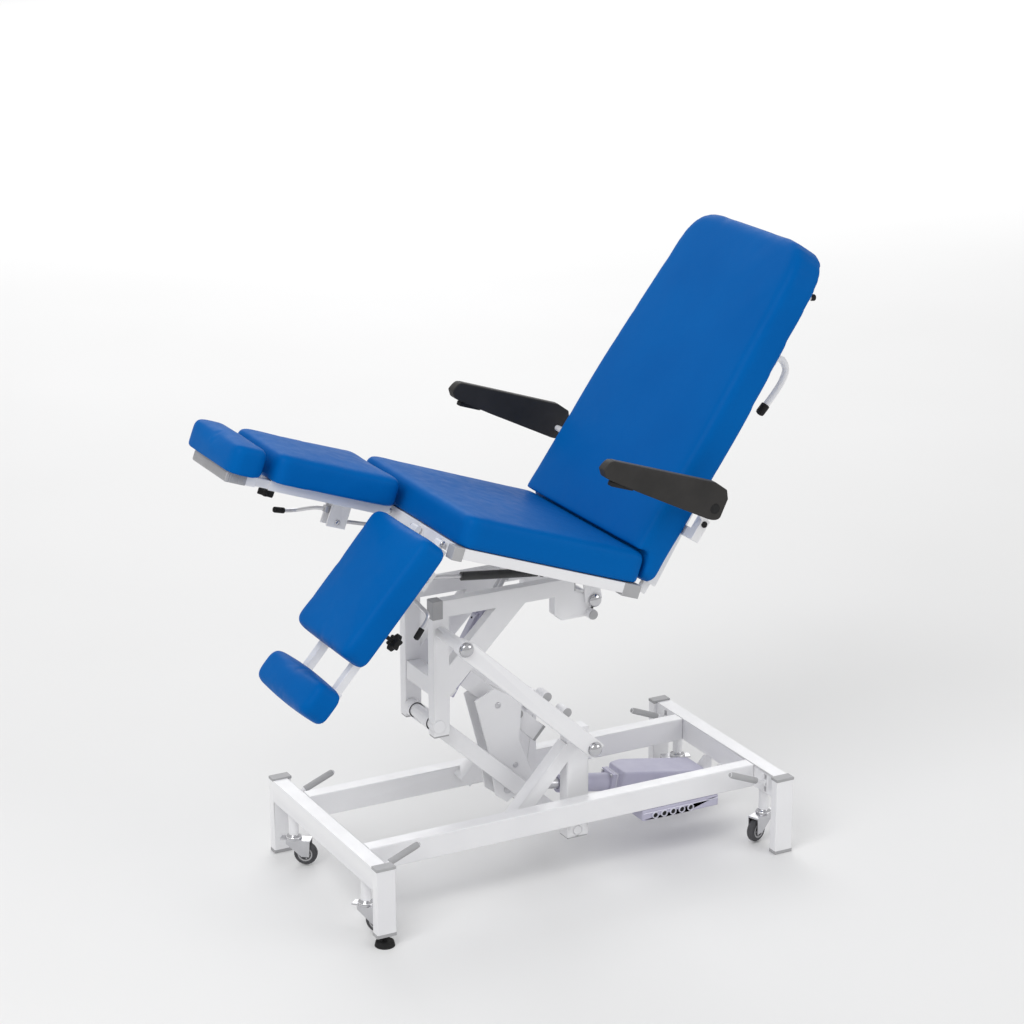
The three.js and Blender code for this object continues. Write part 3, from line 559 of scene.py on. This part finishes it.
# Actuators.
lid = Trim("lift_actuator_lid", "lift_actuator_body", "actuator", PANEL, LIFT_ACTUATOR)
lid.block((76, -31, 44), (208, 31, 49.6), 2.2)
lid.block((30, -53, -5), (290, 53, -3), 0.8)
lid.block((292, -31.2, -31.2), (299, 31.2, 31.2), 2.0)
lid.done()
screws = Trim("lift_actuator_screws", "lift_actuator_body", "chrome", ZINC, LIFT_ACTUATOR)
for y in (-25, 25):
    for x in (84, 200):
        screws.lathe((x, y, 49.4), (0, 0, 1), button(3.4, 1.6, 0.6), 16)
    for z in (-24, 24):
        screws.lathe((309.6, y * 0.9, z), (1, 0, 0), button(4.2, 3.4, 0.8), 6)
screws.done()
tilt_lid = Trim("tilt_actuator_lid", "tilt_actuator_body", "actuator", PANEL, TILT_ACTUATOR)
tilt_lid.block((16, -32, 25), (194, -12, 27.6), 1.2)
tilt_lid.block((220, -42.6, -20.4), (228, -1.4, 20.4), 2.0)
tilt_lid.done()
tilt_screws = Trim("tilt_actuator_screws", "tilt_actuator_body", "rubber", BLACK, TILT_ACTUATOR)
for x in (26, 105, 184):
    tilt_screws.lathe((x, -22, 27.4), (0, 0, 1), button(2.8, 1.4, 0.5), 14)
    for z in (-12, 12):
        tilt_screws.lathe((x, -40.8, z), (0, -1, 0), button(2.4, 1.2, 0.4), 14)
tilt_screws.done()

# Legs: ribbed end caps, hinge bolts, lever tips, knob studs and strut ball joints.
LEG_TOP, LEG_LOW = 14.7, -10.3
for side, sy in SIDES.items():
    leg, foot = f"leg_{side}", f"foot_{side}"
    place = LEGS[side]
    mid = sy * LEG_MID
    x = -350 - FOOT_OUT[side]
    ribbed = Trim(f"foot_end_cap_{side}", foot, "lever", GREY, place)
    ribbed.block(
        (x - 84.4, mid - LEG_HALF - 1.6, LEG_LOW - 1.4), (x - 30, mid + LEG_HALF + 1.6, LEG_TOP - 0.2), 2.4,
    )
    for k in range(34):
        y = mid - LEG_HALF + 4 + k * 5.75
        ribbed.block((x - 86.2, y - 1.1, LEG_LOW + 1.5), (x - 82, y + 1.1, LEG_TOP - 3), 0.7)
    for k in range(8):
        for out in (-1, 1):
            edge = mid + out * (LEG_HALF + 1.2)
            rib = x - 78 + k * 6
            ribbed.block((rib - 1.1, edge - 1.4, LEG_LOW + 1.5), (rib + 1.1, edge + 1.4, LEG_TOP - 3), 0.7)
    ribbed.done()
    bolts = Trim(f"leg_hinge_bolts_{side}", leg, "chrome", CHROME, place)
    for y in (mid - LEG_HALF + 20, mid + LEG_HALF - 20):
        out = -1 if y < mid else 1
        bolts.lathe((0, y, 0), (0, out, 0), dome(7.5, 5), 20)
    bolts.lathe((-251, sy * 227, LEG_LOW - 45.8), (0, 0, -1), dome(7.5, 3.5), 20)
    bolts.lathe((-88, mid - 6.2, -68), (0, -1, 0), dome(7, 4.5), 20)
    bolts.lathe((-88, mid + 32.2, -68), (0, 1, 0), dome(7, 4.5), 20)
    bolts.done()
    tip = Trim(f"release_tip_{side}", f"release_lever_{side}", "rubber", BLACK, place)
    sleeve = [(5.4, 0), (7, 0.8), (7.4, 3), (7.4, 26), (6.2, 29), (3, 30.5), (0.5, 31)]
    tip.lathe((-186, sy * 232, LEG_LOW - 74), (-1, 0, -0.1), sleeve)
    tip.done()
    ball = Trim(f"strut_ball_{side}", f"strut_cylinder_{side}", "rubber", BLACK)
    fixed = turned(-178, -46, SEAT_TILT, (139, 785))
    for out in (-1, 1):
        ball.lathe((fixed[0], mid + 13 + out * 7.8, fixed[1]), (0, out, 0), dome(9.5, 5), 20)
    ball.done()

# Push handle tips and the upper stub behind the backrest.
back_tips = Trim("handle_tips", "back", "rubber", BLACK, BACK)
z0 = -50.3
back_tips.lathe((545, -196, z0 - 58.5), (-1, 0, 0.13), [
    (9.4, 0), (10.8, 0.8), (11.2, 3), (11.2, 24), (9.6, 28), (5, 30), (0.8, 30.5),
])
back_tips.lathe((826, -190, -66), (0.6, -0.3, -1), [(7.4, 0), (8.4, 1), (8.4, 9), (6, 12), (0.8, 13)], 20)
back_tips.done()
stub = Trim("upper_stub", "back", "frame", WHITE, BACK)
stub.tube([(800, -182, -30), (812, -184, -46), (820, -187, -56), (827, -190, -67)], 7).done()

# Armrests.
for side, sy in SIDES.items():
    body = f"armrest_{side}"
    # A thin lighter strip on each armrest's top: a painted highlight on the top face.
    top_highlight = Trim(f"armrest_strip_{side}", body, "armrest", ARMREST_TOP_HIGHLIGHT, ARMREST)
    top_highlight.block((-311, sy * 375.5, 59.4), (-17, sy * 396.5, 62.2), 1.2).done()
    ledge = Trim(f"armrest_fittings_{side}", body, "rubber", BLACK, ARMREST)
    ledge.lathe((0, sy * 399.6, 0), (0, sy, 0), [
        (12.6, 0), (12.6, 0.9), (11.8, 1.7), (10.4, 1.2), (9.6, 1.8), (1, 2),
    ], 36)
    ledge.block((-300, sy * 376, 1), (-236, sy * 396, 13), 3.0).done()
    knob = Trim(f"armrest_bracket_plug_{side}", "back", "rubber", BLACK, BACK)
    knob.lathe((209, sy * 324.6, -36), (0, sy, 0), button(8, 3.2, 1.0)).done()

# ---------- cushions ----------

SWELL = {"seat_cushion": 6.0, "back_cushion": 7.0}
SMALL_SWELL = 6.5
VOXEL = {"seat_cushion": 7.0, "back_cushion": 7.0}
SMALL_VOXEL = 5.5
SLIMMER = 1.6
FRAMES = 20


def underside_normal(shape):
    """The direction that the largest flat area faces."""
    areas = {}
    for face in shape.faces:
        key = tuple(round(c, 2) for c in face.normal)
        areas[key] = areas.get(key, 0) + face.calc_area()
    return Vector(max(areas, key=areas.get)).normalized()


def baked_mesh(piece, name):
    """The piece's mesh with its modifiers applied."""
    evaluated = piece.evaluated_get(bpy.context.evaluated_depsgraph_get())
    mesh = bpy.data.meshes.new_from_object(evaluated)
    mesh.name = name
    return mesh


def start_shape(node):
    """The cushion before it is filled: slim, remeshed with its underside level, eased and pinned there."""
    shape = welded_copy(node)
    shape.normal_update()
    down = underside_normal(shape)
    depth = max(v.co.dot(down) for v in shape.verts)
    flat = {v for v in shape.verts if v.co.dot(down) > depth - 1e-4}
    for v in shape.verts:
        v.co -= v.normal * SLIMMER * MM
    for v in flat:
        v.co += down * (depth - v.co.dot(down))
    level = down.rotation_difference(Vector((0, 0, -1))).to_matrix().to_4x4()
    shape.transform(level)
    mesh = bpy.data.meshes.new(node)
    shape.to_mesh(mesh)
    shape.free()
    piece = bpy.data.objects.new(node + "_start", mesh)
    bpy.context.scene.collection.objects.link(piece)
    remesh = piece.modifiers.new("remesh", "REMESH")
    remesh.mode = "VOXEL"
    remesh.voxel_size = VOXEL.get(node, SMALL_VOXEL) * MM
    ease = piece.modifiers.new("ease", "SMOOTH")
    ease.factor = 0.5
    ease.iterations = 4
    piece.data = baked_mesh(piece, node + "_start")
    piece.data.transform(level.inverted())
    piece.modifiers.clear()
    pins = piece.vertex_groups.new(name="board")
    pins.add([v.index for v in piece.data.vertices if v.co.dot(down) > depth - 1.5 * MM], 1.0, "REPLACE")
    return piece


def fill(pieces):
    """Blows all the cushions up at once with a cloth simulation and returns their meshes."""
    for piece in pieces:
        cloth = piece.modifiers.new("cloth", "CLOTH")
        settings = cloth.settings
        settings.quality = 4
        settings.mass = 0.3
        settings.tension_stiffness = settings.compression_stiffness = 18
        settings.shear_stiffness = 6
        settings.bending_stiffness = 2
        settings.use_pressure = True
        settings.uniform_pressure_force = 4
        settings.effector_weights.gravity = 0
        settings.vertex_group_mass = "board"
        cloth.point_cache.frame_end = FRAMES
    for number in range(1, FRAMES + 1):
        bpy.context.scene.frame_set(number)
    return [baked_mesh(piece, piece.name.replace("_start", "_filled")) for piece in pieces]


def capped(rest, filled, most):
    """Moves rest towards filled, scaled so that no point moves further than most."""
    moves = [b.co - a.co for a, b in zip(rest.vertices, filled.vertices)]
    longest = max(move.length for move in moves)
    share = min(1.0, most * MM / max(longest, 1e-9))
    for vertex, move in zip(rest.vertices, moves):
        vertex.co += move * share


starts = [start_shape(node) for node in cushions]
fills = fill(starts)
for k, (node, start) in enumerate(zip(cushions, starts)):
    start.modifiers.clear()
    if fills:
        capped(start.data, fills[k], SWELL.get(node, SMALL_SWELL))
    for face in start.data.polygons:
        face.use_smooth = True
    start.data.name = node + "_cover"
    cover = new_piece(node + "_cover", start.data, VINYL, body_of[node])
    ease = cover.modifiers.new("ease", "SMOOTH")
    ease.factor = 0.5
    ease.iterations = 3
    finer = cover.modifiers.new("finer", "SUBSURF")
    finer.levels = finer.render_levels = 1
    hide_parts(node)
for start in starts:
    bpy.data.objects.remove(start)
bpy.context.scene.frame_set(1)

# ---------- studio ----------


def floor():
    shape = bmesh.new()
    bmesh.ops.create_grid(shape, x_segments=24, y_segments=24, size=60)
    mesh = bpy.data.meshes.new("floor")
    shape.to_mesh(mesh)
    shape.free()
    look = Look("studio_floor", 0.85, Specular_IOR_Level=0.15)
    cloud = look.remap(look.noise(0.6, 2.0), 0.3, 0.7, 0.0, 1.0)
    look.colour(look.mix(cloud, (0.79, 0.79, 0.79), (0.81, 0.81, 0.812)))
    look.roughness(look.noise(3.0), 0.8, 0.9)
    mesh.materials.append(look.material)
    ground = bpy.data.objects.new("floor", mesh)
    bpy.context.scene.collection.objects.link(ground)


def softbox(name, position, target, size, power):
    light = bpy.data.lights.new(name, "AREA")
    light.shape = "RECTANGLE"
    light.size, light.size_y = size
    light.energy = power
    lamp = bpy.data.objects.new(name, light)
    lamp.location = position
    lamp.rotation_euler = (Vector(target) - Vector(position)).to_track_quat("-Z", "Y").to_euler()
    bpy.context.scene.collection.objects.link(lamp)


floor()
softbox("key", (-3.4, -2.2, 4.8), (0, 0, 0.7), (3.2, 3.2), 130)
softbox("fill", (3.8, -4.2, 2.6), (0, 0, 0.8), (3.0, 2.4), 44)
softbox("back", (1.5, 4.5, 4.5), (0, 0, 0.9), (4.0, 2.4), 50)
softbox("backdrop", (6, 11, 6), (6, 11, 0), (12, 8), 700)

world = bpy.data.worlds.new("studio")
world.use_nodes = True
background = world.node_tree.nodes["Background"]
background.inputs["Color"].default_value = (1.0, 1.0, 1.0, 1)
background.inputs["Strength"].default_value = 0.65
scene = bpy.context.scene
scene.world = world
scene.view_settings.view_transform = "Standard"

camera_data = bpy.data.cameras.new("camera")
camera_data.lens = 99.42
camera_data.sensor_width = 36
camera = bpy.data.objects.new("camera", camera_data)
camera.location = (MIDDLE - 3.1557, -5.8050, 3.0636)
azimuth, elevation = math.radians(-28.107), math.radians(18.051)
back_vector = Vector((
    math.sin(azimuth) * math.cos(elevation), -math.cos(azimuth) * math.cos(elevation), math.sin(elevation),
))
camera.rotation_euler = (-back_vector).to_track_quat("-Z", "Y").to_euler()
scene.collection.objects.link(camera)
scene.camera = camera
